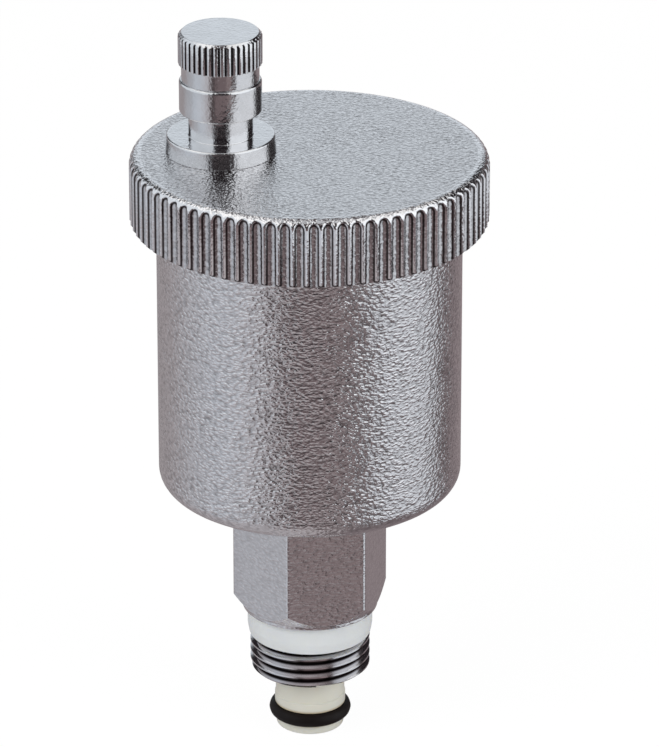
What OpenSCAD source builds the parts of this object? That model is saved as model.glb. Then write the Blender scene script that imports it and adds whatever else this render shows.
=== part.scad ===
// Automatic air vent for a heating system.
// A float in a cast bowl works a small valve under a screw lid; the valve lets air out through an
// off-centre post with a knurled cap. Millimetres. Z = 0 is the lower face of the sealing ring on the
// inlet thread, the inlet points down and the post stands on the -X side.

/* [Inlet thread] */
// Major diameter of the male inlet thread
thread_d = 16.66; // [15:0.01:21]
// Pitch of the inlet thread
thread_pitch = 1.337; // [1:0.001:1.6]
// Length of the inlet thread below the sealing ring
thread_l = 5.3; // [4:0.1:12]
// Depth of the inlet thread's groove
thread_depth = 0.86; // [0.5:0.01:1]
// Flat width of the inlet thread's crest
thread_crest = 0.22; // [0.15:0.01:0.4]
// Chamfer at the lower end of the inlet thread
thread_chamfer = 0.5; // [0.2:0.05:0.8]
// How far the sealing ring stands out from the thread
seal_proud = 0.36; // [0.1:0.02:1]
// Height of the sealing ring
seal_h = 4.2; // [2:0.1:7]
// How much the sealing ring narrows in radius toward its lower end
seal_taper = 0.25; // [0.05:0.05:0.3]

/* [Spigot] */
// Diameter of the spigot
spigot_d = 9.6; // [9:0.1:10.5]
// Length of the spigot below the thread
spigot_reach = 9; // [7:0.1:14]
// Length of the spigot held inside the inlet
spigot_hold = 8; // [4:0.1:12]
// Bore of the spigot
spigot_bore = 6; // [4:0.1:6.6]
// Height of the end lip below the O-ring
lip_h = 1.3; // [0.8:0.1:2]
// How much smaller in radius the end lip is than the spigot
lip_inset = 0.1; // [0:0.05:0.5]
// Section diameter of the O-ring
oring_section = 2; // [1.4:0.1:2.4]
// Depth of the O-ring groove
oring_depth = 1.1; // [0.7:0.05:1.2]
// Height of the band above the O-ring
band_h = 1.5; // [0.8:0.1:3]
// How far the band above the O-ring stands out from the spigot
band_proud = 0.12; // [0.05:0.01:0.3]

/* [Hexagon] */
// Width across the flats of the hexagon
hex_af = 19; // [18:0.5:24]
// Height of the hexagon
hex_h = 18.8; // [12:0.1:25]
// Angle of one corner of the hexagon from the +X axis
hex_turn = 19; // [0:1:59]
// Slope of the chamfer on the hexagon's lower corners
hex_slope = 53; // [15:1:60]
// Height of the round collar under the hexagon
hex_collar = 0.5; // [0.2:0.1:2]
// How far the collar stands back from the hexagon's flats
collar_inset = 0.1; // [0.05:0.05:0.4]
// Bore of the passage from the inlet to the bowl
passage_d = 8; // [5:0.1:8.6]

/* [Bowl] */
// Outer diameter of the bowl
bowl_d = 41.6; // [38:0.1:54]
// Height of the bowl from its underside to its rim
bowl_h = 44.5; // [38:0.1:60]
// Wall of the bowl
bowl_wall = 2; // [1.6:0.1:2.6]
// Thickness of the bowl's floor
floor_t = 2.4; // [1.6:0.1:4]
// Radius of the bowl's outer lower edge
bowl_edge = 2.6; // [1.5:0.1:4]
// Radius of the bowl's inner lower edge
bowl_root = 2; // [1:0.1:3]

/* [Lid] */
// Wall of the lid's skirt, ribs included
lid_wall = 3.49; // [2.6:0.01:4.5]
// Height of the lid
lid_h = 9.5; // [6.5:0.1:12]
// Thickness of the lid's top
lid_t = 2.45; // [1.8:0.05:3.5]
// Radius of the lid's upper edge
lid_edge = 1.5; // [1:0.1:2.4]
// Chamfer of the lid's lower edge
lid_chamfer = 0.4; // [0.2:0.05:0.8]
// Number of flutes round the lid
flutes = 80; // [60:1:88]
// Depth of a flute
flute_depth = 0.45; // [0.2:0.05:0.6]
// Radius of a flute's hollow
flute_r = 0.7; // [0.6:0.05:0.9]
// Pitch of the lid's thread
lid_pitch = 1.5; // [1:0.05:1.75]
// Depth of the lid thread's groove
lid_thread_depth = 0.6; // [0.4:0.05:0.8]
// Flat width of the lid thread's crest
lid_thread_crest = 0.3; // [0.2:0.02:0.5]
// Height of the relief groove below the lid's thread
lid_relief = 1.2; // [0.8:0.1:2]
// Thickness of the gasket under the lid
gasket_t = 1.6; // [1:0.1:2.5]

/* [Vent post] */
// Diameter of the post's flange
flange_d = 14.7; // [12:0.1:18]
// Height of the post's flange
flange_h = 2.4; // [1.6:0.1:4]
// How much wider in radius the flange is at its foot
flange_flare = 0.2; // [0:0.05:0.4]
// Diameter of the post's shank
shank_d = 8.8; // [8.2:0.1:10]
// Height of the post's shank
shank_h = 3.4; // [2:0.1:6]
// Diameter of the post's head
head_d = 11.2; // [9.5:0.05:14]
// Height of the post's head
head_h = 4.6; // [3:0.1:7]
// Bevel on the post's edges
post_bevel = 0.35; // [0.1:0.05:0.6]
// Diameter of the threaded tail under the lid
tail_d = 6; // [5.4:0.1:7]
// How far the tail stands out below the nut
tail_over = 1.1; // [0.5:0.1:2]
// Bore of the cap's socket
socket_d = 6.6; // [5.6:0.1:7.2]
// Depth of the cap's socket
socket_depth = 5.5; // [4.5:0.1:6.5]
// Thickness of the gasket under the flange
post_gasket_t = 0.8; // [0.5:0.1:1.5]
// Width of the gasket under the flange
post_gasket_w = 2.2; // [1.2:0.1:3]
// Wall of the nut between its thread and its flats
nut_wall = 1; // [0.8:0.1:1.4]
// Height of the nut
nut_h = 2.5; // [1.5:0.1:4]

/* [Vent cap] */
// Diameter of the cap over its ridges
cap_d = 11.4; // [10.9:0.02:15]
// Height of the knurled part of the cap
knurl_h = 4.4; // [3:0.1:8]
// Diameter of the cap's plain neck
cap_neck_d = 10.55; // [9:0.05:10.6]
// Height of the cap's plain neck
cap_neck_h = 2.3; // [1.5:0.1:5]
// Bevel on the cap's top edge
cap_bevel = 0.5; // [0.2:0.05:0.8]
// Number of knurl ridges
ridges = 40; // [30:1:44]
// Depth of the knurl's grooves
ridge_depth = 0.3; // [0.15:0.01:0.35]
// Radius of the knurl's grooves
ridge_r = 0.27; // [0.24:0.01:0.3]
// Pitch of the cap's thread
cap_pitch = 0.75; // [0.5:0.05:1]
// Depth of the cap thread's groove
cap_thread_depth = 0.35; // [0.2:0.01:0.45]
// Flat width of the cap thread's crest
cap_thread_crest = 0.14; // [0.1:0.01:0.2]
// Height of the relief groove above the cap's thread
cap_relief = 0.8; // [0.5:0.05:1.2]
// Thickness of the washer under the cap
washer_t = 1.2; // [0.8:0.1:1.6]
// Diameter of the nub that holds the washer
nub_d = 2.4; // [1.8:0.1:3]
// Height of the nub that holds the washer
nub_h = 0.9; // [0.5:0.05:1]
// Width of the air slot along the cap's thread
air_slot_w = 1.2; // [0.8:0.1:1.6]
// Depth of the air slot along the cap's thread
air_slot_depth = 0.8; // [0.5:0.05:1]

/* [Valve] */
// Bore of the post round the spring
valve_bore = 3.8; // [3.4:0.1:4.2]
// Bore of the valve's seat
orifice_d = 2.4; // [2:0.1:2.6]
// Thickness of the web that carries the seat
web_t = 1.2; // [0.8:0.1:2]
// Width of the raised lip round the seat
seat_w = 0.5; // [0.3:0.05:0.7]
// Height of the raised lip round the seat
seat_h = 0.4; // [0.2:0.05:0.8]
// Diameter of the valve's stem
stem_d = 1.6; // [1.2:0.1:1.8]
// Diameter of the stem's head and seal
stem_head_d = 4; // [3.8:0.1:4.4]
// Thickness of the stem's head
stem_head_t = 0.8; // [0.5:0.1:1.5]
// Thickness of the stem's seal
stem_seal_t = 1; // [0.6:0.1:2]
// Thickness of the spring's collar
collar_t = 0.8; // [0.5:0.1:1.5]
// Length of the stem past the collar and past the clip
stem_over = 0.5; // [0.3:0.1:1]
// Diameter of the stem's clip
clip_d = 3.6; // [3:0.1:4.2]
// Thickness of the clips
clip_t = 0.6; // [0.4:0.1:1]
// Wire of the valve's spring
spring_wire = 0.4; // [0.3:0.05:0.5]
// Length of the spring with the valve shut
spring_l = 6; // [5.6:0.1:8]
// Turns of the spring
spring_turns = 4.5; // [3:0.5:5]

/* [Lever] */
// Distance from the lever's pivot to the stem
stem_arm = 4.4; // [3.4:0.1:4.6]
// Width of the lever
lever_w = 4.4; // [4:0.1:5]
// Height of the lever's bar
lever_h = 1.6; // [1.2:0.1:2]
// Wall of the lever round its holes
lever_eye = 0.75; // [0.6:0.05:0.9]
// Radius of the noses that press on the stem's clip
nose_r = 1.15; // [1:0.05:1.4]
// Diameter of the pivot pin and the float's pin
pin_d = 1.4; // [1.2:0.05:1.6]
// Diameter of the pins' heads and of the pin's clip
pin_head_d = 2.6; // [2.2:0.1:3]
// Thickness of the bracket's sheet
sheet_t = 0.8; // [0.6:0.1:1]
// Radius of the bracket's ears
ear_r = 1.6; // [1.3:0.1:1.8]
// Radius of the bracket's plate round the post
plate_r = 5; // [4:0.1:6]

/* [Float] */
// Room between the float and the bowl's wall
float_room = 2.2; // [1.5:0.1:4]
// Wall of the float
float_wall = 1.6; // [1.2:0.1:2.4]
// Height that the float rises to shut the valve
float_travel = 4.5; // [4:0.1:6.5]
// Radius of the float's edges
float_edge = 1.5; // [0.8:0.1:2.5]
// Length of the lap between the float's halves
lap_l = 2.5; // [1.5:0.1:4]
// Room under the float with the bowl empty
float_under = 1.9; // [1.2:0.1:4]
// Thickness of the yoke's base on the float
yoke_base_t = 1; // [0.6:0.1:2]
// Thickness of the yoke's cheeks
yoke_t = 1.2; // [0.8:0.1:2]
// Wall of the yoke round its pin
yoke_eye = 1; // [0.7:0.1:1.5]

/* [Clearances] */
// Room of a turned or pressed fit, on the radius
fit = 0.04; // [0.02:0.01:0.06]
// Room of a part that slides or turns, on the radius
run = 0.1; // [0.06:0.01:0.15]
// Room between moving parts
room = 0.3; // [0.2:0.05:0.4]
// Room between the lever's bracket and the bowl's wall
wall_room = 0.5; // [0.4:0.05:0.8]
// Room round the stem in the lever's slot
stem_room = 0.45; // [0.4:0.05:0.6]

/* [Hidden] */

$fn = 96;
// Overlap of a cut past the face that it leaves
over = 0.5;
// Sides of small round parts and of flutes
small_fn = 32;
// Steps of a rounded edge in an outline
arc_steps = 8;
// Steps in one turn of a thread
thread_steps = 36;
// How far a thread's cutter stands out from the crest
cutter_over = 0.05;
// Flat width at the root of a thread, as a share of its crest
root_share = 0.8;
// Rings in one turn of the spring, and sides of its wire
curl_rings = 8;
wire_sides = 6;
// Slack that keeps the spring's wire off its seats
spring_slack = 0.02;

// Inlet and hexagon
thread_r = thread_d / 2;
thread_z0 = -thread_l;
neck_r = thread_r - thread_depth - run;
seal_r = thread_r + seal_proud;
spigot_r = spigot_d / 2;
spigot_z0 = thread_z0 - spigot_reach;
spigot_z1 = thread_z0 + spigot_hold;
oring_z = spigot_z0 + lip_h + oring_section / 2;
oring_groove_r = spigot_r - oring_depth;
hex_z1 = seal_h + hex_h;
hex_corner_r = hex_af / 2 / cos(30);

// Bowl and lid
bowl_r = bowl_d / 2;
bowl_ir = bowl_r - bowl_wall;
floor_z = hex_z1 + floor_t;
rim_z = hex_z1 + bowl_h;
ceiling_z = rim_z + gasket_t;
lid_top_z = ceiling_z + lid_t;
lid_z0 = lid_top_z - lid_h;
lid_ir = bowl_r + run;
lid_r = lid_ir + lid_wall;
relief_z0 = lid_z0 + lid_chamfer;

// Lever and post, set out from the bowl's wall
ear_in = lever_w / 2 + room;
ear_out = ear_in + sheet_t;
pivot_r = sqrt(pow(bowl_ir - wall_room, 2) - pow(ear_out, 2)) - ear_r;
post_x = stem_arm - pivot_r;
half_tilt = asin(float_travel / 2 / pivot_r);
stem_travel = 2 * stem_arm * sin(half_tilt);

// Post, from its foot up
flange_z1 = lid_top_z + flange_h;
shank_z1 = flange_z1 + shank_h;
head_z1 = shank_z1 + head_h;
socket_z0 = head_z1 - socket_depth;
tail_r = tail_d / 2;
bracket_z0 = ceiling_z - sheet_t;
nut_z0 = bracket_z0 - nut_h;
nut_corner_r = (tail_r + fit + nut_wall) / cos(30);
tail_z0 = nut_z0 - tail_over;
seat_z = tail_z0 - seat_h;
web_z1 = tail_z0 + web_t;
strap_in = nut_corner_r - ear_in * tan(30) + room - post_x;

// Vent cap
cap_neck_z1 = head_z1 + cap_neck_h;
cap_z1 = cap_neck_z1 + knurl_h;
stub_r = socket_d / 2 - fit;
stub_z0 = socket_z0 + washer_t;
washer_r = socket_d / 2 - room;

// Valve with the float down and the seat open
stem_seal_z1 = seat_z - stem_travel;
stem_head_z1 = stem_seal_z1 - stem_seal_t;
stem_head_z0 = stem_head_z1 - stem_head_t;
pivot_z = stem_head_z0 - room - nose_r + stem_travel / 2;
clip_z1 = pivot_z - stem_travel / 2 - nose_r - run;
clip_z0 = clip_z1 - clip_t;
stem_z0 = clip_z0 - stem_over;
collar_z0 = web_z1 + spring_l - stem_travel;
stem_z1 = collar_z0 + collar_t + stem_over;
collar_r = valve_bore / 2 - room;
spring_r = valve_bore / 2 - run - spring_wire / 2;

// Lever's end and float
pin_r = pin_d / 2;
slot_r = pin_r + run;
slot_half = pivot_r * (1 - cos(half_tilt)) + run;
eye_r = slot_r + lever_eye;
hook_z = pivot_z - float_travel / 2;
float_r = bowl_ir - float_room;
float_z0 = floor_z + float_under;
float_z1 = stem_z0 + stem_travel - float_travel - wall_room;
float_mid_z = (float_z0 + float_z1) / 2;
yoke_r = pin_r + fit + yoke_eye;
yoke_in = lever_w / 2 + room;
yoke_out = yoke_in + yoke_t;

// Points of an arc about [x, z], from one angle to another
function arc(x, z, r, a0, a1) =
    [for (i = [0:arc_steps]) let (a = a0 + (a1 - a0) * i / arc_steps) [x + r * cos(a), z + r * sin(a)]];

// Solid of revolution from an outline of [radius, height] points
module turned(outline) {
    rotate_extrude() polygon(outline);
}

// Upright ring between two radii
module ring(r_out, r_in, z0, z1) {
    difference() {
        translate([0, 0, z0]) cylinder(r = r_out, h = z1 - z0);
        translate([0, 0, z0 - over]) cylinder(r = r_in, h = z1 - z0 + 2 * over);
    }
}

// Rod along Y with its middle at the origin
module cross_rod(r, l) {
    rotate([90, 0, 0]) cylinder(r = r, h = l, center = true, $fn = small_fn);
}

// Triangles that join one ring of n points to the next, and that close both ends of the sweep
function sweep_faces(rings, n) = concat(
    [for (i = [0:rings - 2]) for (j = [0:n - 1]) [i * n + j, (i + 1) * n + (j + 1) % n, i * n + (j + 1) % n]],
    [for (i = [0:rings - 2]) for (j = [0:n - 1]) [i * n + j, (i + 1) * n + j, (i + 1) * n + (j + 1) % n]],
    [for (j = [1:n - 2]) [0, j, j + 1]],
    [for (j = [1:n - 2]) let (last = (rings - 1) * n) [last, last + j + 1, last + j]]);

// Groove of a right-hand outer thread, to be cut from a plain cylinder
module thread_cut(r, depth, pitch, crest, z0, z1) {
    root = crest * root_share;
    half_w = (pitch - crest) / 2;
    slope = (half_w - root / 2) / depth;
    wide = half_w + slope * cutter_over;
    out_r = r + cutter_over;
    in_r = r - depth;
    outline = [[out_r, -wide], [in_r, -root / 2], [in_r, root / 2], [out_r, wide]];
    steps = ceil((z1 - z0) / pitch * thread_steps);
    points = [for (i = [0:steps]) for (p = outline)
        let (a = 360 * i / thread_steps, z = z0 + pitch * i / thread_steps)
        [p[0] * cos(a), p[0] * sin(a), z + p[1]]];
    polyhedron(points, sweep_faces(steps + 1, len(outline)));
}

// Straight grooves of a flute or knurl pattern round a cylinder
module fluting(count, r, groove_r, depth, z0, z1) {
    for (i = [0:count - 1])
        rotate(i * 360 / count)
            translate([r - depth + groove_r, 0, z0])
                cylinder(r = groove_r, h = z1 - z0, $fn = small_fn);
}

// Things on the post's axis
module at_post() {
    translate([post_x, 0, 0]) children();
}

// Outside of the bowl, from its axis
module bowl_outside() {
    turned(concat([[0, hex_z1]], arc(bowl_r - bowl_edge, hex_z1 + bowl_edge, bowl_edge, -90, 0),
        [[bowl_r, rim_z], [0, rim_z]]));
}

// Inside of the bowl, from its axis
module bowl_inside() {
    turned(concat([[0, floor_z]], arc(bowl_ir - bowl_root, floor_z + bowl_root, bowl_root, -90, 0),
        [[bowl_ir, rim_z + over], [0, rim_z + over]]));
}

// Hexagon with its lower corners chamfered above a round collar
module spanner_hexagon() {
    collar_r = hex_af / 2 - collar_inset;
    collar_z1 = seal_h + hex_collar;
    outer_r = hex_corner_r + over;
    slope_z1 = collar_z1 + (outer_r - collar_r) * tan(hex_slope);
    intersection() {
        translate([0, 0, seal_h]) rotate(hex_turn) cylinder(r = hex_corner_r, h = hex_h + over, $fn = 6);
        turned([[0, seal_h], [collar_r, seal_h], [collar_r, collar_z1], [outer_r, slope_z1],
            [outer_r, hex_z1 + over], [0, hex_z1 + over]]);
    }
}

// Threaded inlet with the plain neck under the sealing ring
module inlet() {
    difference() {
        turned([[0, thread_z0], [thread_r - thread_chamfer, thread_z0],
            [thread_r, thread_z0 + thread_chamfer], [thread_r, 0], [neck_r, 0],
            [neck_r, seal_h + over], [0, seal_h + over]]);
        thread_cut(thread_r, thread_depth, thread_pitch, thread_crest, thread_z0 - thread_pitch,
            thread_pitch / 2);
    }
}

// Thread and relief groove round the bowl's rim
module rim_thread() {
    thread_cut(bowl_r, lid_thread_depth, lid_pitch, lid_thread_crest, relief_z0 + lid_relief / 2,
        rim_z + lid_pitch);
    ring(bowl_r + over, bowl_r - lid_thread_depth - run, relief_z0, relief_z0 + lid_relief);
}

module body() {
    color("silver")
    difference() {
        union() {
            inlet();
            spanner_hexagon();
            bowl_outside();
        }
        bowl_inside();
        rim_thread();
        translate([0, 0, thread_z0 - over]) cylinder(r = spigot_r + fit, h = spigot_hold + over);
        translate([0, 0, thread_z0]) cylinder(r = passage_d / 2, h = floor_z - thread_z0 + over);
    }
}

module thread_seal() {
    color("white")
    turned([[neck_r + fit, 0], [seal_r - seal_taper, 0], [seal_r, seal_h / 3], [seal_r, seal_h],
        [neck_r + fit, seal_h]]);
}

module spigot() {
    groove_half = oring_section / 2 + fit;
    groove_r = oring_groove_r - fit;
    lip_r = spigot_r - lip_inset;
    band_r = spigot_r + band_proud;
    band_z0 = oring_z + groove_half;
    band_z1 = band_z0 + band_h;
    color("ivory")
    turned([[spigot_bore / 2, spigot_z0], [lip_r, spigot_z0], [lip_r, oring_z - groove_half],
        [groove_r, oring_z - groove_half], [groove_r, band_z0], [band_r, band_z0],
        [band_r, band_z1 - band_proud], [spigot_r, band_z1], [spigot_r, spigot_z1],
        [spigot_bore / 2, spigot_z1]]);
}

module spigot_oring() {
    color("black")
    rotate_extrude()
        translate([oring_groove_r + oring_section / 2, oring_z])
            circle(d = oring_section, $fn = small_fn);
}

module lid_gasket() {
    color("dimgray")
    ring(bowl_r, bowl_ir + room, rim_z, ceiling_z);
}

module lid() {
    color("silver")
    difference() {
        turned(concat([[0, ceiling_z], [lid_ir, ceiling_z], [lid_ir, lid_z0], [lid_r - lid_chamfer, lid_z0],
            [lid_r, lid_z0 + lid_chamfer]], arc(lid_r - lid_edge, lid_top_z - lid_edge, lid_edge, 0, 90),
            [[0, lid_top_z]]));
        fluting(flutes, lid_r, flute_r, flute_depth, lid_z0 - over, lid_top_z + over);
        at_post() translate([0, 0, ceiling_z - over]) cylinder(r = tail_r + fit, h = lid_t + 2 * over);
    }
}

module vent_post() {
    flange_r = flange_d / 2;
    shank_r = shank_d / 2;
    head_r = head_d / 2;
    seat_r = orifice_d / 2 + seat_w;
    gasket_r = tail_r + fit + post_gasket_w;
    color("gainsboro")
    at_post()
    turned([[orifice_d / 2, seat_z], [seat_r, seat_z], [seat_r, tail_z0], [tail_r, tail_z0],
        [tail_r, lid_top_z + post_gasket_t], [gasket_r, lid_top_z + post_gasket_t], [gasket_r, lid_top_z],
        [flange_r + flange_flare, lid_top_z], [flange_r, flange_z1 - post_bevel],
        [flange_r - post_bevel, flange_z1], [shank_r, flange_z1], [shank_r, shank_z1],
        [head_r - post_bevel, shank_z1], [head_r, shank_z1 + post_bevel], [head_r, head_z1 - post_bevel],
        [head_r - post_bevel, head_z1], [socket_d / 2, head_z1], [socket_d / 2, socket_z0],
        [valve_bore / 2, socket_z0], [valve_bore / 2, web_z1], [orifice_d / 2, web_z1]]);
}

module post_gasket() {
    color("peru")
    at_post() ring(tail_r + fit + post_gasket_w, tail_r + fit, lid_top_z, lid_top_z + post_gasket_t);
}

module post_nut() {
    color("goldenrod")
    at_post()
    difference() {
        translate([0, 0, nut_z0]) cylinder(r = nut_corner_r, h = nut_h, $fn = 6);
        translate([0, 0, nut_z0 - over]) cylinder(r = tail_r + fit, h = nut_h + 2 * over);
    }
}

// One hanging ear of the bracket, on the +Y side
module bracket_ear() {
    difference() {
        union() {
            translate([-pivot_r - ear_r, ear_in, pivot_z])
                cube([pivot_r + ear_r - strap_in, sheet_t, ceiling_z - pivot_z]);
            translate([-pivot_r, (ear_in + ear_out) / 2, pivot_z]) cross_rod(ear_r, sheet_t);
        }
        translate([-pivot_r, 0, pivot_z]) cross_rod(pin_r + fit, 4 * ear_out);
    }
}

module lever_bracket() {
    color("lightsteelblue")
    union() {
        intersection() {
            translate([0, 0, bracket_z0]) cylinder(r = bowl_ir - wall_room, h = sheet_t);
            difference() {
                union() {
                    at_post() translate([0, 0, bracket_z0 - over])
                        cylinder(r = plate_r, h = sheet_t + 2 * over);
                    translate([-bowl_ir, -ear_out, bracket_z0 - over])
                        cube([bowl_ir + post_x, 2 * ear_out, sheet_t + 2 * over]);
                }
                at_post() translate([0, 0, bracket_z0 - 2 * over])
                    cylinder(r = tail_r + fit, h = sheet_t + 4 * over);
            }
        }
        bracket_ear();
        mirror([0, 1, 0]) bracket_ear();
    }
}

module pivot_pin() {
    tip_y = ear_out + run + clip_t + stem_over;
    head_y = ear_out + clip_t;
    color("lightgray")
    translate([-pivot_r, 0, pivot_z]) {
        translate([0, (tip_y - head_y) / 2, 0]) cross_rod(pin_r, tip_y + head_y);
        translate([0, clip_t / 2 - head_y, 0]) cross_rod(pin_head_d / 2, clip_t);
    }
}

module pin_clip() {
    color("gray")
    translate([-pivot_r, ear_out + run + clip_t / 2, pivot_z])
    difference() {
        cross_rod(pin_head_d / 2, clip_t);
        cross_rod(pin_r + fit, clip_t + 2 * over);
    }
}

// Middle line of the spring's wire
spring_z0 = web_z1 + spring_wire / 2 + spring_slack;
spring_rise = (collar_z0 - web_z1 - spring_wire - 2 * spring_slack) / spring_turns;
spring_line = [for (i = [0:spring_turns * curl_rings]) let (a = 360 * i / curl_rings)
    [spring_r * cos(a), spring_r * sin(a), spring_z0 + spring_rise * i / curl_rings]];
spring_gap = min([for (i = [0:len(spring_line) - 1]) for (j = [i + curl_rings - 1:len(spring_line) - 1])
    norm(spring_line[i] - spring_line[j])]) - spring_wire;
echo("valve_spring: least gap to itself in mm", spring_gap);

module valve_spring() {
    points = [for (i = [0:len(spring_line) - 1]) for (j = [0:wire_sides - 1])
        let (a = 360 * i / curl_rings, b = -360 * j / wire_sides, out = spring_wire / 2 * cos(b))
        spring_line[i] + [out * cos(a), out * sin(a), spring_wire / 2 * sin(b)]];
    color("lightgray")
    at_post() polyhedron(points, sweep_faces(len(spring_line), wire_sides));
}

// Lever with its bar level and its pivot at the origin
module level_lever() {
    difference() {
        union() {
            translate([0, -lever_w / 2, -lever_h / 2]) cube([pivot_r, lever_w, lever_h]);
            cross_rod(pin_r + run + lever_eye, lever_w);
            translate([stem_arm, 0, 0]) cross_rod(nose_r, lever_w);
            for (side = [-1, 1])
                translate([pivot_r + side * slot_half, 0, 0]) cross_rod(eye_r, lever_w);
            translate([pivot_r - slot_half, -lever_w / 2, -eye_r]) cube([2 * slot_half, lever_w, 2 * eye_r]);
        }
        cross_rod(pin_r + fit, lever_w + 2 * over);
        translate([stem_arm, 0, -2 * nose_r])
            cylinder(r = stem_d / 2 + stem_room, h = 4 * nose_r, $fn = small_fn);
        for (side = [-1, 1])
            translate([pivot_r + side * slot_half, 0, 0]) cross_rod(slot_r, lever_w + 2 * over);
        translate([pivot_r - slot_half, -lever_w / 2 - over, -slot_r])
            cube([2 * slot_half, lever_w + 2 * over, 2 * slot_r]);
    }
}

module lever() {
    color("burlywood")
    translate([-pivot_r, 0, pivot_z]) rotate([0, half_tilt, 0]) level_lever();
}

module valve_stem() {
    color("lightgray")
    at_post() {
        translate([0, 0, stem_z0]) cylinder(d = stem_d, h = stem_z1 - stem_z0, $fn = small_fn);
        translate([0, 0, stem_head_z0]) cylinder(d = stem_head_d, h = stem_head_t);
    }
}

module stem_seal() {
    color("black")
    at_post() ring(stem_head_d / 2, stem_d / 2 + fit, stem_head_z1, stem_seal_z1);
}

module stem_collar() {
    color("goldenrod")
    at_post() ring(collar_r, stem_d / 2 + fit, collar_z0, collar_z0 + collar_t);
}

module stem_clip() {
    color("gray")
    at_post() ring(clip_d / 2, stem_d / 2 + fit, clip_z0, clip_z1);
}

module float_top() {
    tongue_r = float_r - float_wall / 2 - fit;
    inner_r = float_r - float_wall;
    color("whitesmoke")
    turned(concat([[0, float_z1]], arc(float_r - float_edge, float_z1 - float_edge, float_edge, 90, 0),
        [[float_r, float_mid_z], [tongue_r, float_mid_z], [tongue_r, float_mid_z - lap_l],
        [inner_r, float_mid_z - lap_l], [inner_r, float_z1 - float_wall], [0, float_z1 - float_wall]]));
}

module float_bottom() {
    inner_r = float_r - float_wall;
    groove_r = float_r - float_wall / 2;
    lap_z1 = float_mid_z - run;
    lap_z0 = lap_z1 - lap_l;
    color("whitesmoke")
    turned(concat([[0, float_z0]], arc(float_r - float_edge, float_z0 + float_edge, float_edge, -90, 0),
        [[float_r, lap_z1], [groove_r, lap_z1], [groove_r, lap_z0], [inner_r, lap_z0],
        [inner_r, float_z0 + float_wall], [0, float_z0 + float_wall]]));
}

// One cheek of the float's yoke, on the +Y side
module yoke_cheek() {
    difference() {
        union() {
            translate([-yoke_r, yoke_in, float_z1]) cube([2 * yoke_r, yoke_t, hook_z - float_z1]);
            translate([0, yoke_in + yoke_t / 2, hook_z]) cross_rod(yoke_r, yoke_t);
        }
        translate([0, yoke_in + yoke_t / 2, hook_z]) cross_rod(pin_r + fit, yoke_t + 2 * over);
    }
}

module float_yoke() {
    color("whitesmoke")
    union() {
        translate([-yoke_r, -yoke_out, float_z1]) cube([2 * yoke_r, 2 * yoke_out, yoke_base_t]);
        yoke_cheek();
        mirror([0, 1, 0]) yoke_cheek();
    }
}

module float_pin() {
    head_y = yoke_out + clip_t;
    color("lightgray")
    translate([0, 0, hook_z]) {
        cross_rod(pin_r, 2 * head_y);
        for (side = [-1, 1])
            translate([0, side * (head_y - clip_t / 2), 0]) cross_rod(pin_head_d / 2, clip_t);
    }
}

module cap_washer() {
    color("black")
    at_post() ring(washer_r, nub_d / 2 + fit, socket_z0, socket_z0 + washer_t);
}

module vent_cap() {
    cap_r = cap_d / 2;
    neck_r = cap_neck_d / 2;
    relief_r = stub_r - cap_thread_depth - run;
    color("gainsboro")
    at_post()
    difference() {
        turned([[0, stub_z0 - nub_h], [nub_d / 2, stub_z0 - nub_h], [nub_d / 2, stub_z0], [stub_r, stub_z0],
            [stub_r, head_z1 - cap_relief], [relief_r, head_z1 - cap_relief], [relief_r, head_z1],
            [neck_r, head_z1], [neck_r, cap_neck_z1], [cap_r, cap_neck_z1], [cap_r, cap_z1 - cap_bevel],
            [cap_r - cap_bevel, cap_z1], [0, cap_z1]]);
        fluting(ridges, cap_r, ridge_r, ridge_depth, cap_neck_z1 - over, cap_z1 + over);
        thread_cut(stub_r, cap_thread_depth, cap_pitch, cap_thread_crest, stub_z0 - cap_pitch,
            head_z1 - cap_relief / 2);
        translate([-air_slot_w / 2, stub_r - air_slot_depth, stub_z0 - over])
            cube([air_slot_w, air_slot_depth + over, head_z1 - stub_z0 + over]);
    }
}

body();
thread_seal();
spigot();
spigot_oring();
lid_gasket();
lid();
vent_post();
post_gasket();
post_nut();
lever_bracket();
pivot_pin();
pin_clip();
valve_spring();
lever();
valve_stem();
stem_seal();
stem_collar();
stem_clip();
float_top();
float_bottom();
float_yoke();
float_pin();
cap_washer();
vent_cap();
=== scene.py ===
"""Outside pieces, finishes and studio for an automatic air vent, built round its packed solids."""

import math

import bmesh
import bpy
from bpy.props import FloatProperty, FloatVectorProperty, IntProperty, PointerProperty
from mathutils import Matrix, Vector


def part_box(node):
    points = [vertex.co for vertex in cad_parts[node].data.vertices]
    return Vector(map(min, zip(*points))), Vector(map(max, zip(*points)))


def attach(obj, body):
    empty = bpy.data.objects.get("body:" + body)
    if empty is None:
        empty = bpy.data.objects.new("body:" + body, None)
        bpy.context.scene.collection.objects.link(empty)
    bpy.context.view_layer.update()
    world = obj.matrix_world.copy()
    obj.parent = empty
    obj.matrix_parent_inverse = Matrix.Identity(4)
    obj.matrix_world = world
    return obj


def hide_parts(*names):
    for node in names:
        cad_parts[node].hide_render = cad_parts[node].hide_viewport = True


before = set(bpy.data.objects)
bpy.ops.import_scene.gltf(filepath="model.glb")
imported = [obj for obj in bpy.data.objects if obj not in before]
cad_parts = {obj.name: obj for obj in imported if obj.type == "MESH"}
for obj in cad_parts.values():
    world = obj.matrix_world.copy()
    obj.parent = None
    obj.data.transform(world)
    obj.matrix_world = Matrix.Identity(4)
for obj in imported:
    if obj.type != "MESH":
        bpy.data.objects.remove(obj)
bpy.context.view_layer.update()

bl_info = {
    "name": "Automatic air vent",
    "version": (1, 0, 0),
    "blender": (4, 5, 0),
    "location": "View3D > Sidebar > Air vent",
    "description": "Models the outside of an automatic air vent and finishes all of its parts",
    "category": "Object",
}

MM = 0.001


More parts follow.
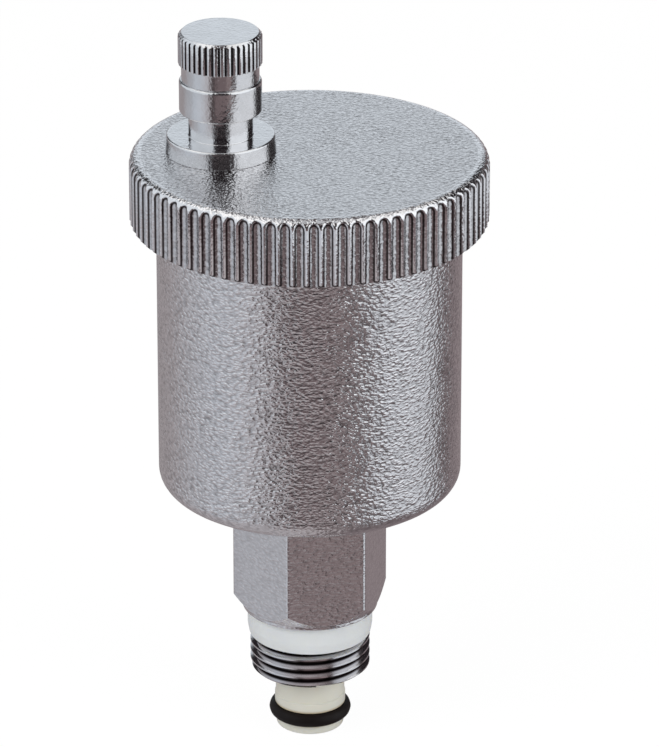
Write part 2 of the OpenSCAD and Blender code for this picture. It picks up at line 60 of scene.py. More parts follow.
def heights(node):
    """Lowest and highest level of a solid."""
    return [corner.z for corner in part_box(node)]


# Heights and places that the solids give
THREAD_LOW, RIM_TOP = heights("body")
LID_LOW, LID_TOP = heights("lid")
POST_LOW, POST_TOP = heights("vent_post")
CAP_LOW, CAP_TOP = heights("vent_cap")
SPIGOT_LOW, SPIGOT_TOP = heights("spigot")
SEAL_TOP = heights("thread_seal")[1]
CEILING = heights("lid_gasket")[1]
POST_X = sum(corner.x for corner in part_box("vent_post")) / 2
RING_LOW, RING_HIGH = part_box("spigot_oring")
# Distance of the loops that keep a flat face flat beside a rounded edge
HOLD = 0.03 * MM
# Vertices closer than this are one
WELD = 0.001 * MM
# How far a cutting tool reaches past the face that it leaves
PAST = 0.5 * MM
# How far a thread's cutting tool stands out of the piece
PROUD = 0.05 * MM
# How much deeper a relief groove is than the thread beside it
DEEPER = 0.1 * MM
# Width of the root of a thread's groove as a part of the crest
ROOT_PART = 0.8
# Roundings of small edges
RIM_EDGE = 0.15 * MM
NECK_EDGE = 0.12 * MM
KNURL_EDGE = 0.1 * MM
BAND_EDGE = 0.1 * MM
LIP_EDGE = 0.08 * MM
SPIGOT_END = 0.3 * MM
SPIGOT_BACK = 0.2 * MM
# Columns across half a flute, as parts of its mouth, and the part of half a pitch that they may take up
COLUMN_PARTS = (0.0, 0.25, 0.5, 0.7, 0.84, 0.94, 1.03, 1.14)
COLUMN_ROOM = 0.95
# Slope that a flute's side has past the mouth before its rib is rounded
RIB_SLOPE = 2.0
# Size of the lid's grain as a part of the bowl's
LID_GRAIN = 0.72
# Places of the factor and the two colours among the inputs of a Mix node, and of its colour output
MIX_INPUTS = (0, 6, 7)
MIX_OUTPUT = 2


def length(name, description, millimetres):
    """Size in metres, written in millimetres."""
    return FloatProperty(name=name, description=description, default=millimetres * MM, min=0.0,
                         unit="LENGTH", precision=5)


def height(name, description, metres):
    """Height in the part's frame, which can lie below zero."""
    return FloatProperty(name=name, description=description, default=metres, unit="LENGTH", precision=5)


def tilt(name, description, degrees):
    return FloatProperty(name=name, description=description, default=math.radians(degrees), subtype="ANGLE")


def number(name, description, value):
    return FloatProperty(name=name, description=description, default=value)


def amount(name, description, value):
    return IntProperty(name=name, description=description, default=value, min=12)


def power(name, description, watts):
    return FloatProperty(name=name, description=description, default=watts, unit="POWER")


def colour(name, description, value):
    return FloatVectorProperty(name=name, description=description, default=value, size=3, min=0.0, max=1.0,
                               subtype="COLOR")


class VentBowlSizes(bpy.types.PropertyGroup):
    """Sizes of the cast bowl with its hexagon and inlet thread."""

    bowl_radius: length("Bowl radius", "Outer radius of the bowl", 20.8)
    bowl_wall: length("Bowl wall", "Thickness of the bowl's wall", 2.0)
    bowl_base: height("Bowl base", "Height of the bowl's underside", 23.0 * MM)
    bowl_edge: length("Bowl edge", "Radius of the bowl's lower edge", 2.6)
    floor_thickness: length("Floor", "Thickness of the bowl's floor", 2.4)
    floor_edge: length("Floor edge", "Radius of the edge round the bowl's floor", 2.0)
    hex_flats: length("Hexagon", "Width across the hexagon's flats", 19.0)
    hex_turn: tilt("Hexagon turn", "Angle of one corner from the X axis", 19.0)
    hex_corner: length("Hexagon corner", "Width of the softened corners of the hexagon", 0.28)
    hex_slope: tilt("Hexagon slope", "Slope of the chamfer under the hexagon's corners", 53.0)
    collar_height: length("Collar", "Height of the round collar under the hexagon", 0.5)
    collar_inset: length("Collar inset", "How far the collar stands back from the flats", 0.1)
    thread_radius: length("Thread radius", "Outer radius of the inlet thread", 8.33)
    thread_pitch: length("Thread pitch", "Pitch of the inlet thread", 1.337)
    thread_depth: length("Thread depth", "Depth of the inlet thread's groove", 0.86)
    thread_crest: length("Thread crest", "Width of the inlet thread's crest", 0.22)
    thread_chamfer: length("Thread chamfer", "Chamfer at the inlet thread's end", 0.5)
    neck_radius: length("Neck radius", "Radius of the neck under the sealing ring", 7.37)
    passage_radius: length("Passage", "Radius of the passage up to the bowl", 4.0)
    socket_radius: length("Socket", "Radius of the socket that holds the spigot", 4.84)
    rim_pitch: length("Rim pitch", "Pitch of the thread round the rim", 1.5)
    rim_depth: length("Rim depth", "Depth of the groove of the rim's thread", 0.6)
    rim_crest: length("Rim crest", "Width of the crest of the rim's thread", 0.3)
    relief_low: height("Relief", "Height of the relief groove under the rim's thread", 62.45 * MM)
    relief_height: length("Relief height", "Height of the relief groove", 1.2)


class VentLidSizes(bpy.types.PropertyGroup):
    """Sizes of the fluted lid."""

    radius: length("Lid radius", "Radius of the lid over its ribs", 24.39)
    bore: length("Lid bore", "Radius of the bore that fits over the rim", 20.9)
    edge: length("Lid edge", "Radius of the lid's upper edge", 1.5)
    chamfer: length("Lid chamfer", "Chamfer of the lid's lower edge", 0.4)
    flutes: amount("Flutes", "Number of flutes round the lid", 80)
    flute_depth: length("Flute depth", "Depth of a flute", 0.45)
    flute_radius: length("Flute radius", "Radius of a flute's hollow", 0.7)
    rib_round: length("Rib rounding", "Rounding where a flute meets a rib", 0.4)
    post_hole: length("Post hole", "Radius of the hole for the post", 3.04)


class VentPostSizes(bpy.types.PropertyGroup):
    """Sizes of the turned vent post."""

    flange_radius: length("Flange radius", "Radius of the flange", 7.35)
    flange_flare: length("Flange flare", "How much wider the flange is at its foot", 0.2)
    flange_height: length("Flange height", "Height of the flange", 2.4)
    shank_radius: length("Shank radius", "Radius of the shank", 4.4)
    shank_height: length("Shank height", "Height of the shank", 3.4)
    head_radius: length("Head radius", "Radius of the head", 5.6)
    edge: length("Edge", "Rounding of the post's edges", 0.3)
    tail_radius: length("Tail radius", "Radius of the threaded tail", 3.0)
    tail_low: height("Tail end", "Height of the tail's lower end", 64.7 * MM)
    seat_radius: length("Seat radius", "Outer radius of the raised lip round the valve's seat", 1.7)
    orifice: length("Orifice", "Radius of the valve's seat", 1.2)
    gasket_radius: length("Gasket radius", "Radius of the recess for the gasket", 5.24)
    gasket_height: length("Gasket height", "Height of the recess for the gasket", 0.8)
    bore: length("Valve bore", "Radius of the bore round the spring", 1.9)
    web_top: height("Web", "Height of the web above the seat", 65.9 * MM)
    socket_radius: length("Socket radius", "Radius of the cap's socket", 3.3)
    socket_depth: length("Socket depth", "Depth of the cap's socket", 5.5)


class VentCapSizes(bpy.types.PropertyGroup):
    """Sizes of the knurled cap."""

    radius: length("Cap radius", "Radius over the knurl's ridges", 5.7)
    neck_radius: length("Neck radius", "Radius of the plain neck", 5.275)
    neck_height: length("Neck height", "Height of the plain neck", 2.3)
    bevel: length("Bevel", "Bevel of the cap's top edge", 0.5)
    ridges: amount("Ridges", "Number of the knurl's ridges", 40)
    groove_depth: length("Groove depth", "Depth of the knurl's grooves", 0.3)
    groove_radius: length("Groove radius", "Radius of the knurl's grooves", 0.2)
    groove_round: length("Ridge rounding", "Rounding of the ridges' edges", 0.15)
    stub_radius: length("Stub radius", "Radius of the threaded stub", 3.26)
    stub_pitch: length("Stub pitch", "Pitch of the stub's thread", 0.75)
    stub_depth: length("Stub depth", "Depth of the groove of the stub's thread", 0.35)
    stub_crest: length("Stub crest", "Width of the crest of the stub's thread", 0.14)
    relief: length("Relief", "Height of the relief groove above the stub's thread", 0.8)
    nub_radius: length("Nub radius", "Radius of the nub that holds the washer", 1.2)
    nub_height: length("Nub height", "Height of the nub that holds the washer", 0.9)
    slot_width: length("Slot width", "Width of the air slot along the stub", 1.2)
    slot_depth: length("Slot depth", "Depth of the air slot along the stub", 0.8)


class VentInletSizes(bpy.types.PropertyGroup):
    """Sizes of the sealing ring, the spigot and its O-ring."""

    seal_radius: length("Seal radius", "Outer radius of the sealing ring", 8.69)
    seal_bore: length("Seal bore", "Bore radius of the sealing ring", 7.41)
    seal_taper: length("Seal taper", "How much smaller the sealing ring is at its lower end", 0.25)
    seal_edge: length("Seal edge", "Rounding of the sealing ring's edges", 0.3)
    spigot_radius: length("Spigot radius", "Radius of the spigot", 4.8)
    spigot_bore: length("Spigot bore", "Bore radius of the spigot", 3.0)
    lip_radius: length("Lip radius", "Radius of the lip under the O-ring", 4.7)
    band_radius: length("Band radius", "Radius of the band above the O-ring", 4.92)
    band_height: length("Band height", "Height of the band above the O-ring", 1.5)
    groove_radius: length("Groove radius", "Radius of the O-ring's groove", 3.66)
    groove_room: length("Groove room", "Room above and below the O-ring", 0.04)


class VentFinish(bpy.types.PropertyGroup):
    """Colours and grain of the finishes."""

    cast_chrome: colour("Cast chrome", "Plating on the cast bowl and lid", (0.9, 0.89, 0.9))
    # Painted shade: the dark colour laid into the castings' grooves and into the creases of their grain
    cast_shade: colour("Cast hollows", "Plating deep in the grooves of the castings", (0.06, 0.05, 0.05))
    bright_chrome: colour("Bright chrome", "Plating on the turned post and cap", (0.83, 0.83, 0.84))
    seal_white: colour("Seal white", "Sealing ring on the inlet thread", (0.86, 0.89, 0.9))
    cream: colour("Cream", "Moulded spigot", (0.86, 0.85, 0.76))
    ochre: colour("Ochre", "Spigot where the O-ring touches it", (0.62, 0.5, 0.3))
    rubber: colour("Rubber", "O-ring, gaskets and seals", (0.009, 0.006, 0.0055))
    fibre: colour("Fibre", "Pressed fibre gasket", (0.4, 0.26, 0.15))
    brass: colour("Brass", "Unplated turned brass", (0.72, 0.53, 0.25))
    steel: colour("Steel", "Stamped and drawn stainless steel", (0.62, 0.61, 0.6))
    lever: colour("Lever", "Moulded lever", (0.83, 0.79, 0.7))
    floats: colour("Float", "Moulded float", (0.85, 0.85, 0.83))
    grain: length("Grain", "Size of the casting's grain", 0.72)
    grain_depth: length("Grain depth", "Depth of the casting's grain", 0.14)


class VentStageSettings(bpy.types.PropertyGroup):
    """Camera and light."""

    azimuth: tilt("Azimuth", "Direction of the camera round the vent", 5.17)
    elevation: tilt("Elevation", "Height of the camera above the horizon", 24.07)
    distance: length("Distance", "Distance of the camera", 850.0)
    aim: height("Aim", "Height that the camera looks at", 38.94 * MM)
    slide: length("Slide", "How far the camera stands to the right of its aim", 2.72)
    lens: number("Lens", "Focal length of the camera in millimetres", 298.9)
    ambient: number("Ambient", "Strength of the even light", 0.4)
    key: power("Key", "Power of the soft lamp at the left", 2.3)
    fill: power("Fill", "Power of the soft lamp at the right", 1.3)


def clear():
    """Go to object mode with nothing selected."""
    if bpy.context.mode != "OBJECT":
        bpy.ops.object.mode_set(mode="OBJECT")
    bpy.ops.object.select_all(action="DESELECT")


def pick(piece):
    """Select one object alone and make it active."""
    clear()
    bpy.context.view_layer.objects.active = piece
    piece.select_set(True)


def settle(name):
    """Name the primitive that was just added and put its place into its mesh."""
    piece = bpy.context.active_object
    piece.name = piece.data.name = name
    bpy.ops.object.transform_apply(location=True, rotation=True, scale=True)
    return piece


def rounded(corners, closed=False, steps=6):
    """Outline with its corners rounded; a corner is (radius, height) or (radius, height, rounding)."""
    points = []
    for i, corner in enumerate(corners):
        here = Vector(corner[:2])
        size = corner[2] if len(corner) > 2 else 0.0
        if size == 0.0:
            points.append(tuple(here))
            continue
        before = (Vector(corners[i - 1][:2]) - here).normalized()
        after = (Vector(corners[(i + 1) % len(corners)][:2]) - here).normalized()
        half = before.angle(after) / 2
        reach = size / math.tan(half)
        centre = here + (before + after).normalized() * size / math.sin(half)
        first = here + before * reach - centre
        last = here + after * reach - centre
        start = math.atan2(first.y, first.x)
        sweep = (math.atan2(last.y, last.x) - start + math.pi) % math.tau - math.pi
        points.append(tuple(here + before * (reach + HOLD)))
        for k in range(steps + 1):
            angle = start + sweep * k / steps
            points.append(tuple(centre + size * Vector((math.cos(angle), math.sin(angle)))))
        points.append(tuple(here + after * (reach + HOLD)))
    if closed:
        points.append(points[0])
    return points


def draw_outline(name, outline, axis=0.0):
    """Draw an outline of (radius, height) points from one vertex; the object stays in edit mode."""
    clear()
    bpy.ops.mesh.primitive_plane_add(size=MM, location=(0.0, 0.0, 0.0))
    piece = settle(name)
    bpy.ops.object.mode_set(mode="EDIT")
    bpy.ops.mesh.merge(type="CENTER")
    bpy.ops.transform.translate(value=(axis + outline[0][0], 0.0, outline[0][1]))
    for (r0, z0), (r1, z1) in zip(outline, outline[1:]):
        bpy.ops.mesh.extrude_vertices_move(TRANSFORM_OT_translate={"value": (r1 - r0, 0.0, z1 - z0)})
    bpy.ops.mesh.select_all(action="SELECT")
    return piece


def weld():
    """Merge doubles of the mesh in edit mode, turn its faces outwards and go back to object mode."""
    bpy.ops.mesh.select_all(action="SELECT")
    bpy.ops.mesh.remove_doubles(threshold=WELD)
    bpy.ops.mesh.normals_make_consistent(inside=False)
    bpy.ops.object.mode_set(mode="OBJECT")


def turn(name, outline, steps, axis=0.0):
    """Piece turned on a lathe from an outline of (radius, height) points."""
    piece = draw_outline(name, outline, axis)
    bpy.ops.mesh.spin(steps=steps, angle=math.tau, center=(axis, 0.0, 0.0), axis=(0, 0, 1))
    weld()
    return piece


def flute_columns(pitch, hollow, depth, soften):
    """Distances from a flute's middle to the next rib's, each with the flute's depth there."""
    centre = hollow - depth
    mouth = math.sqrt(hollow ** 2 - centre ** 2)
    columns = []
    for place in (mouth * part for part in COLUMN_PARTS):
        if place < COLUMN_ROOM * pitch / 2:
            inside = hollow ** 2 - place ** 2
            deep = math.sqrt(inside) - centre if inside > centre ** 2 else RIB_SLOPE * (mouth - place)
            columns.append((place, (deep + math.hypot(deep, soften)) / 2))
    return columns + [(pitch / 2, 0.0)]


def turn_fluted(name, outline, count, columns, radius, low, high, axis=0.0):
    """Turned piece with flutes between two heights: one flute is shaped on a sector and copied round."""
    piece = draw_outline(name, outline, axis)
    both_sides = [(-place, deep) for place, deep in reversed(columns)] + columns[1:]
    sector = math.tau / count
    angles = [sector * place / (2 * columns[-1][0]) for place, deep in both_sides]
    around = {"center": (axis, 0.0, 0.0), "axis": (0, 0, 1)}
    for a0, a1 in zip(angles, angles[1:]):
        bpy.ops.mesh.spin(steps=1, angle=a1 - a0, **around)
    mesh = bmesh.from_edit_mesh(piece.data)
    rows = {}
    for vertex in mesh.verts:
        x, y, z = vertex.co
        reach = math.hypot(x - axis, y)
        if not low - WELD < z < high + WELD or reach < WELD:
            continue
        turned = abs(math.atan2(y, x - axis)) + angles[0]
        column = min(range(len(angles)), key=lambda i: abs(angles[i] - turned))
        target = radius - both_sides[column][1]
        if reach > target + WELD:
            rows.setdefault((column, round(reach / WELD)), (target / reach, []))[1].append(vertex)
    for ratio, members in rows.values():
        bpy.ops.mesh.select_all(action="DESELECT")
        for vertex in members:
            vertex.select_set(True)
        bmesh.update_edit_mesh(piece.data)
        bpy.ops.transform.resize(value=(ratio, ratio, 1.0), center_override=(axis, 0.0, 0.0))
    bpy.ops.mesh.select_all(action="SELECT")
    bpy.ops.mesh.spin(steps=count - 1, dupli=True, angle=sector * (count - 1), **around)
    weld()
    return piece


def helix_tool(radius, depth, pitch, crest, low, high, axis=0.0):
    """Tool that cuts the groove of a right-hand outer thread."""
    root = ROOT_PART * crest
    half = (pitch - crest) / 2
    slope = (half - root / 2) / depth
    wide = half + slope * PROUD
    inner, outer = radius - depth, radius + PROUD
    outline = [(outer, low - wide), (inner, low - root / 2), (inner, low + root / 2), (outer, low + wide)]
    tool = draw_outline("thread_tool", outline + outline[:1])
    bpy.ops.mesh.remove_doubles(threshold=WELD)
    bpy.ops.object.mode_set(mode="OBJECT")
    helix = tool.modifiers.new("Helix", "SCREW")
    helix.axis = "Z"
    helix.angle = math.tau
    helix.screw_offset = pitch
    helix.iterations = math.ceil((high - low) / pitch)
    helix.steps = helix.render_steps = 64
    bpy.ops.object.modifier_apply(modifier=helix.name)
    bpy.ops.object.mode_set(mode="EDIT")
    bpy.ops.mesh.select_all(action="SELECT")
    bpy.ops.mesh.fill_holes(sides=0)
    bpy.ops.mesh.select_all(action="SELECT")
    bpy.ops.transform.translate(value=(axis, 0.0, 0.0))
    weld()
    return tool


def carve(piece, tool, operation="DIFFERENCE"):
    """Cut, join or intersect a piece with a tool, which is used up."""
    pick(piece)
    step = piece.modifiers.new("Carve", "BOOLEAN")
    step.object = tool
    step.operation = operation
    step.solver = "EXACT"
    bpy.ops.object.modifier_apply(modifier=step.name)
    bpy.data.objects.remove(tool, do_unlink=True)


def shade(piece, degrees=32.0):
    """Smooth shading with the sharper edges kept."""
    pick(piece)
    bpy.ops.object.shade_smooth_by_angle(angle=math.radians(degrees))


def fit_out(piece, material, body, slot, *nodes):
    """Give a finished piece its material and body, and hide the solids that it stands for; slot is not used.
    """
    piece.data.materials.clear()
    piece.data.materials.append(material)
    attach(piece, body)
    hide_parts(*nodes)


def feed(tree, socket, value):
    """Give a socket a value, or a link from another socket."""
    if isinstance(value, bpy.types.NodeSocket):
        tree.links.new(value, socket)
    else:
        socket.default_value = value


def add_node(tree, kind, settings=None, **sockets):
    """Shader node with settings, and its sockets given values or links by their names."""
    made = tree.nodes.new(kind)
    for key, value in (settings or {}).items():
        setattr(made, key, value)
    for key, value in sockets.items():
        feed(tree, made.inputs[key.replace("_", " ")], value)
    return made


def maths(tree, operation, *values, kind="ShaderNodeMath"):
    """Result of a math node on values or sockets."""
    made = add_node(tree, kind, {"operation": operation})
    for socket, value in zip(made.inputs, values):
        feed(tree, socket, value)
    return made.outputs[0]


def vectors(tree, operation, first, second):
    """Result of a vector math node."""
    return maths(tree, operation, first, second, kind="ShaderNodeVectorMath")


def mix(tree, factor, first, second):
    """Colour between two colours."""
    made = add_node(tree, "ShaderNodeMix", {"data_type": "RGBA"})
    for place, value in zip(MIX_INPUTS, (factor, first, second)):
        feed(tree, made.inputs[place], value)
    return made.outputs[MIX_OUTPUT]


def ease(tree, value, low, high, first=0.0, last=1.0):
    """Smooth step from one value to another."""
    return add_node(tree, "ShaderNodeMapRange", {"interpolation_type": "SMOOTHSTEP"}, Value=value,
                    From_Min=low, From_Max=high, To_Min=first, To_Max=last).outputs[0]


def spread(tree, noise, low, high):
    """The middle of a noise, where nearly all of it lies, stretched from one value to another."""
    return add_node(tree, "ShaderNodeMapRange", Value=noise, From_Min=0.3, From_Max=0.7, To_Min=low,
                    To_Max=high).outputs[0]


def reach_of(tree, place, axis=0.0):
    """Distance of a point from an upright axis, and its height."""
    parts = add_node(tree, "ShaderNodeSeparateXYZ", Vector=place).outputs
    across = maths(tree, "SUBTRACT", parts["X"], axis)
    square = maths(tree, "MULTIPLY_ADD", across, across, maths(tree, "MULTIPLY", parts["Y"], parts["Y"]))
    return maths(tree, "SQRT", square), parts["Z"]


def new_group(name, outputs, **inputs):
    """Shader node group that takes a Vector and values; gives its tree, its inputs and its outputs."""
    tree = bpy.data.node_groups.new(name, "ShaderNodeTree")
    tree.interface.new_socket(name="Vector", in_out="INPUT", socket_type="NodeSocketVector")
    for socket, value in inputs.items():
        made = tree.interface.new_socket(name=socket, in_out="INPUT", socket_type="NodeSocketFloat")
        made.default_value = value
    for socket in outputs:
        tree.interface.new_socket(name=socket, in_out="OUTPUT", socket_type="NodeSocketFloat")
    return tree, tree.nodes.new("NodeGroupInput").outputs, tree.nodes.new("NodeGroupOutput").inputs


def cast_grain(name):
    """Grain of a plated casting: flat pebbles between wavy creases, as a height and as a painted shade that
    darkens the creases.
    """
    tree, given, result = new_group(name, ("Height", "Crease_shade"), Cells=1200.0, Flatten=1.4, Strength=1.0)
    # Cells of each noise to one pebble, the parts that make up the rise, and how the painted crease shade
    # follows it
    sway_cells, wrinkle_cells, patch_cells = 0.7, 1.5, 0.1
    sway_reach, pebble_part, wrinkle_part, middle = 0.9, -0.7, 0.8, 0.08
    shade_swing, shade_middle = 0.85, 0.75

    def noise(place, finer, **shape):
        scale = maths(tree, "MULTIPLY", given["Cells"], finer)
        return add_node(tree, "ShaderNodeTexNoise", Vector=place, Scale=scale, **shape).outputs

    squeeze = add_node(tree, "ShaderNodeCombineXYZ", X=1.0, Y=1.0, Z=given["Flatten"])
    place = vectors(tree, "MULTIPLY", given["Vector"], squeeze.outputs[0])
    sway = add_node(tree, "ShaderNodeVectorMath", {"operation": "SCALE"},
                    Vector=noise(place, sway_cells, Detail=1.0)["Color"],
                    Scale=maths(tree, "DIVIDE", sway_reach, given["Cells"]))
    pebble = add_node(tree, "ShaderNodeTexVoronoi", {"feature": "SMOOTH_F1"}, Scale=given["Cells"],
                      Vector=vectors(tree, "ADD", place, sway.outputs[0]), Smoothness=0.35)
    wrinkle = noise(place, wrinkle_cells, Detail=1.5, Roughness=0.5)[0]
    patch = spread(tree, noise(given["Vector"], patch_cells, Detail=2.0)[0], low=0.75, high=1.2)
    rise = maths(tree, "MULTIPLY_ADD", pebble.outputs["Distance"], pebble_part,
                 maths(tree, "MULTIPLY", wrinkle, wrinkle_part))
    local = maths(tree, "MULTIPLY", patch, given["Strength"])
    swing = maths(tree, "MULTIPLY", maths(tree, "SUBTRACT", rise, middle), local)
    tree.links.new(swing, result["Height"])
    # Painted shade: the colour follows the rise, darker in the creases and lighter on the pebbles
    tree.links.new(maths(tree, "MULTIPLY_ADD", swing, shade_swing, shade_middle), result["Crease_shade"])
    return tree


def tone_drift(name):
    """Slow drift over a surface from one value to another."""
    tree, given, result = new_group(name, ("Value",), Cells=200.0, Low=0.0, High=1.0)
    cloud = add_node(tree, "ShaderNodeTexNoise", Vector=given["Vector"], Scale=given["Cells"], Detail=3.0)
    tree.links.new(spread(tree, cloud.outputs[0], given["Low"], given["High"]), result["Value"])
    return tree


def tool_marks(name):
    """Fine rings left by a lathe, as a height along the axis."""
    tree, given, result = new_group(name, ("Height",), Lines=3000.0)
    along = 0.02
    stretch = vectors(tree, "MULTIPLY", given["Vector"], (along, along, 1.0))
    ring = add_node(tree, "ShaderNodeTexNoise", Vector=stretch, Scale=given["Lines"], Detail=2.0)
    tree.links.new(ring.outputs[0], result["Height"])
    return tree


def use_group(tree, build, place, **values):
    """Group placed in a material with its own values; build makes the group when it is first used."""
    name = build.__name__
    group = bpy.data.node_groups.get(name) or build(name)
    return add_node(tree, "ShaderNodeGroup", {"node_tree": group}, Vector=place, **values).outputs


def drift(tree, place, cells, low=0.0, high=1.0):
    """Value that drifts over a surface, in so many cells to the metre."""
    return use_group(tree, tone_drift, place, Cells=cells, Low=low, High=high)["Value"]


def new_material(name, **sockets):
    """Principled material with plain values; gives it, its tree, its shader and its Object coordinates."""
    material = bpy.data.materials.new(name)
    material.use_nodes = True
    tree = material.node_tree
    shader = next(node for node in tree.nodes if node.type == "BSDF_PRINCIPLED")
    for key, value in sockets.items():
        feed(tree, shader.inputs[key.replace("_", " ")], value)
    return material, tree, shader, tree.nodes.new("ShaderNodeTexCoord").outputs["Object"]


def dress(tree, shader, tone, dark, light, rough, rise, depth):
    """Give a shader its colour between two tones, its roughness and the bump of a rise times a depth."""
    bump = add_node(tree, "ShaderNodeBump", Strength=1.0, Distance=depth, Height=rise)
    for key, value in (("Base Color", mix(tree, tone, (*dark, 1.0), (*light, 1.0))), ("Roughness", rough),
                       ("Normal", bump.outputs["Normal"])):
        tree.links.new(value, shader.inputs[key])


def darker(value, part):
    return tuple(channel * part for channel in value)


def made_once(make):
    """Maker of a material that gives the same one back when its name is asked for again."""
    def give(name, *values, **options):
        return bpy.data.materials.get(name) or make(name, *values, **options)
    return give


@made_once
def plated_casting(name, finish, grain, flatten, hollow, strength):
    """Chrome plating over a cast skin; hollow gives the painted shade in its grooves, strength that of its
    grain.
    """
    material, tree, shader, place = new_material(name, Metallic=1.0)
    reach, level = reach_of(tree, place)
    skin = use_group(tree, cast_grain, place, Cells=1.0 / grain, Flatten=flatten,
                     Strength=strength(tree, reach, level))
    # Painted shade: the grain's crease shade times the shade in the grooves, towards the dark plating colour
    tone = maths(tree, "MULTIPLY", skin["Crease_shade"], hollow(tree, reach, level))
    rough = drift(tree, place, cells=350.0, low=0.09, high=0.15)
    dress(tree, shader, tone, finish.cast_shade, finish.cast_chrome, rough, skin["Height"],
          finish.grain_depth * grain / finish.grain)
    return material


@made_once
def bright_plating(name, finish, hollow=None):
    """Chrome plating over turned and polished brass; hollow gives the painted shade in its grooves."""
    material, tree, shader, place = new_material(name, Metallic=1.0)
    tone = drift(tree, place, cells=500.0, low=0.9)
    if hollow:
        # Painted shade in the grooves, laid over the slow drift of the tone
        tone = maths(tree, "MULTIPLY", tone, hollow(tree, *reach_of(tree, place, POST_X)))
    rough = drift(tree, place, cells=900.0, low=0.04, high=0.09)
    marks = use_group(tree, tool_marks, place, Lines=2600.0)["Height"]
    rise = maths(tree, "ADD", marks, drift(tree, place, cells=2400.0, high=4.0))
    # The dark end is nearly black, for the painted shade in the grooves
    dress(tree, shader, tone, darker(finish.bright_chrome, part=0.06), finish.bright_chrome, rough, rise,
          depth=0.004 * MM)
    return material


@made_once
def metal(name, base, rough, lines, depth):
    """Bare metal with the marks of its making."""
    material, tree, shader, place = new_material(name, Metallic=1.0)
    low, high = rough
    marks = use_group(tree, tool_marks, place, Lines=lines)["Height"]
    dress(tree, shader, drift(tree, place, cells=420.0), darker(base, part=0.82), base,
          drift(tree, place, cells=1100.0, low=low, high=high), marks, depth)
    return material


@made_once
def moulded(name, base, rough, cells, depth, glow=0.0, shine=0.5, tint=None, untinted=None):
    """Moulded plastic or rubber with a fine skin; glow lets light into it, and untinted keeps its tint off.
    """
    material, tree, shader, place = new_material(
        name, Specular_IOR_Level=shine, Subsurface_Weight=glow, Subsurface_Radius=(1.0, 0.9, 0.7),
        Subsurface_Scale=1.2 * MM)
    low, high = rough
    faint = 0.1
    tone = drift(tree, place, cells=260.0)
    if untinted:
        tone = maths(tree, "MULTIPLY_ADD", tone, faint, untinted(tree, *reach_of(tree, place)))
    dress(tree, shader, tone, tint or darker(base, part=0.95), base,
          drift(tree, place, cells=700.0, low=low, high=high), drift(tree, place, cells), depth)
    return material


def ring_rubber(finish):
    """Rubber of the O-ring, the gaskets and the seals."""
    return moulded("ring_rubber", finish.rubber, rough=(0.45, 0.6), cells=3500.0, depth=0.004 * MM, shine=0.2)


